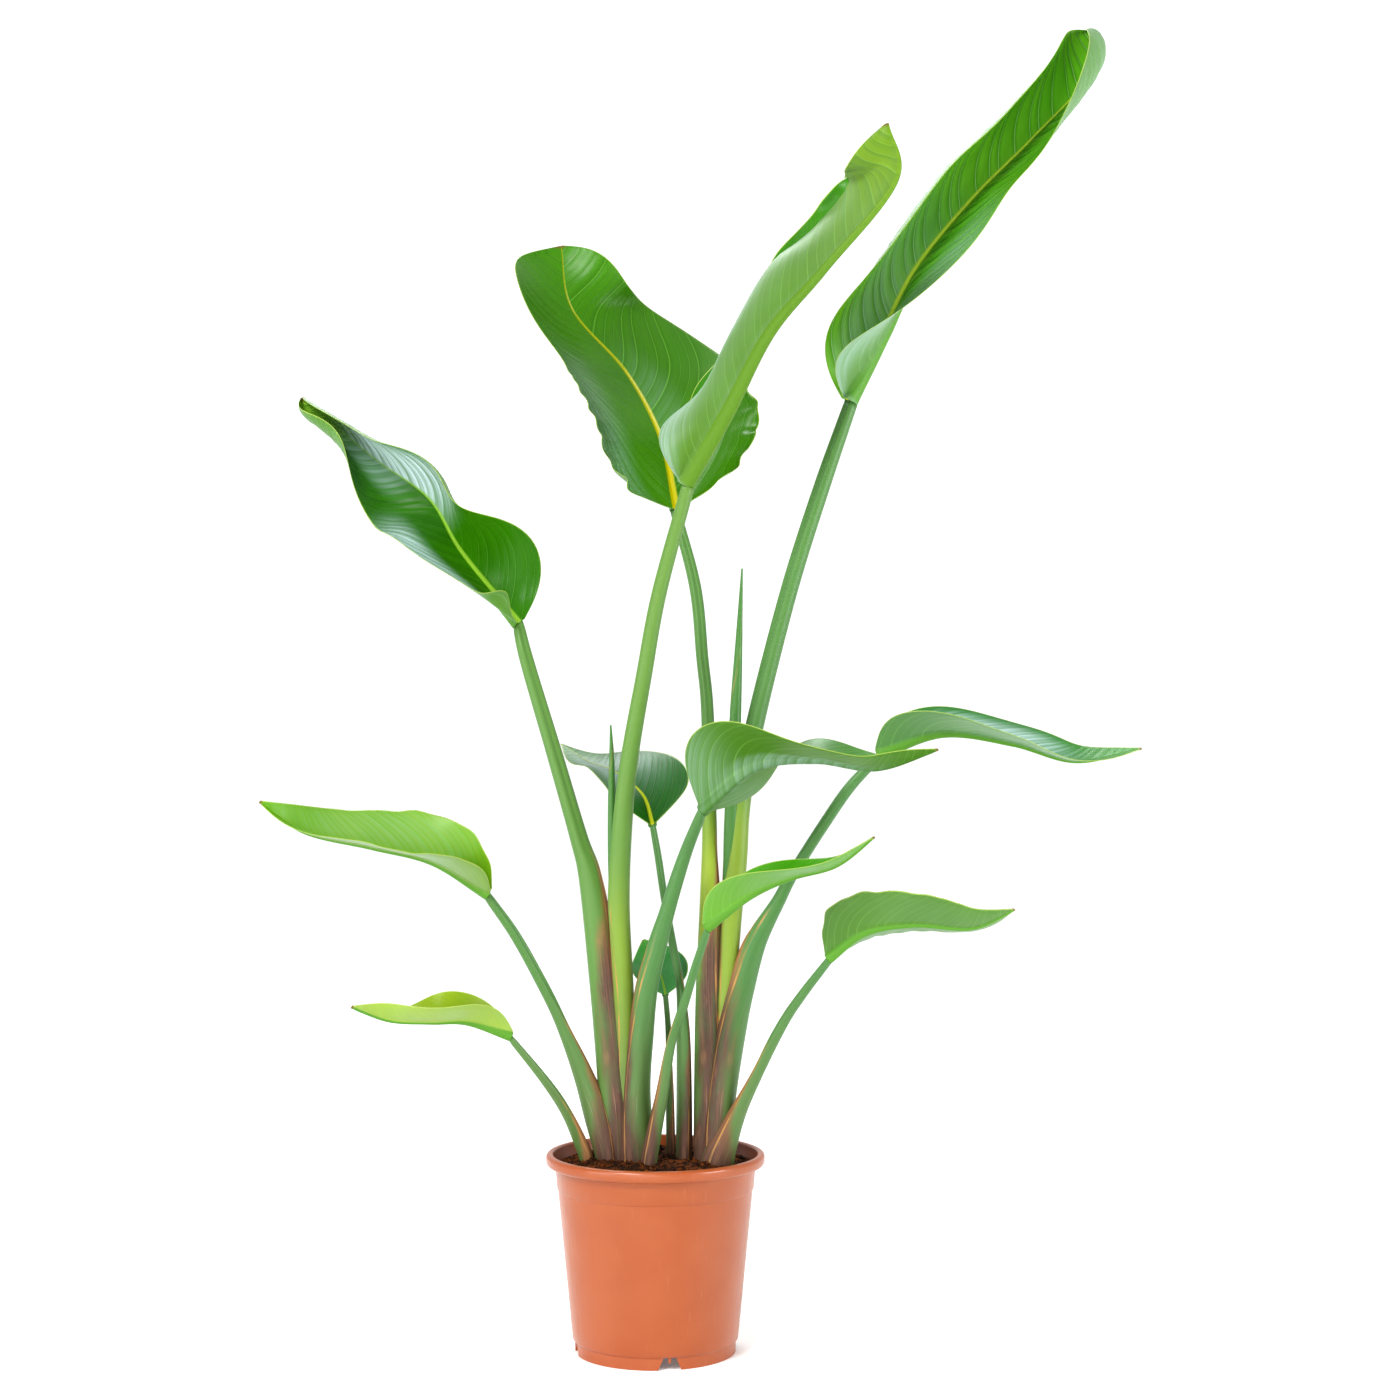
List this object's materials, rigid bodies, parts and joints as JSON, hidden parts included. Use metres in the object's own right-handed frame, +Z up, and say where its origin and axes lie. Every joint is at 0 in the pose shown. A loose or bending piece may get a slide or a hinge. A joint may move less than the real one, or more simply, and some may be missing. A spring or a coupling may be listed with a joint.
{
  "type": "potted plant",
  "caption": "Potted bird of paradise: two fans of large paddle-shaped leaves on long grooved stalks, in a round tapered nursery pot filled with soil.",
  "frame": {"origin": "centre of the pot's foot, on the surface it stands on", "axes": "+Z up along the pot's axis, +X along the row of the leaf fans, the front of the plant faces -Y"},
  "size_m": [0.8282, 0.4418, 1.2934],
  "materials": {
    "pot": "satin terracotta-coloured moulded plastic",
    "soil": "loose dark brown peat",
    "blade": "glossy deep green leaf, lighter and matt underneath",
    "stalk": "satin green leaf stalk with a waxy bloom, brown-purple at the sheath",
    "spear": "satin green rolled young leaf"
  },
  "bodies": {
    "root": {"pot": "pot", "soil": "soil", "left_leaf_1_stalk": "stalk", "left_leaf_1_blade": "blade", "left_leaf_2_stalk": "stalk", "left_leaf_2_blade": "blade", "left_leaf_3_stalk": "stalk", "left_leaf_3_blade": "blade", "left_leaf_4_stalk": "stalk", "left_leaf_4_blade": "blade", "left_leaf_5_stalk": "stalk", "left_leaf_5_blade": "blade", "left_leaf_6_stalk": "stalk", "left_leaf_6_blade": "blade", "right_leaf_1_stalk": "stalk", "right_leaf_1_blade": "blade", "right_leaf_2_stalk": "stalk", "right_leaf_2_blade": "blade", "right_leaf_3_stalk": "stalk", "right_leaf_3_blade": "blade", "right_leaf_4_stalk": "stalk", "right_leaf_4_blade": "blade", "right_leaf_5_stalk": "stalk", "right_leaf_5_blade": "blade", "right_leaf_6_stalk": "stalk", "right_leaf_6_blade": "blade", "left_spear": "spear", "right_spear": "spear"}
  },
  "joints": []
}
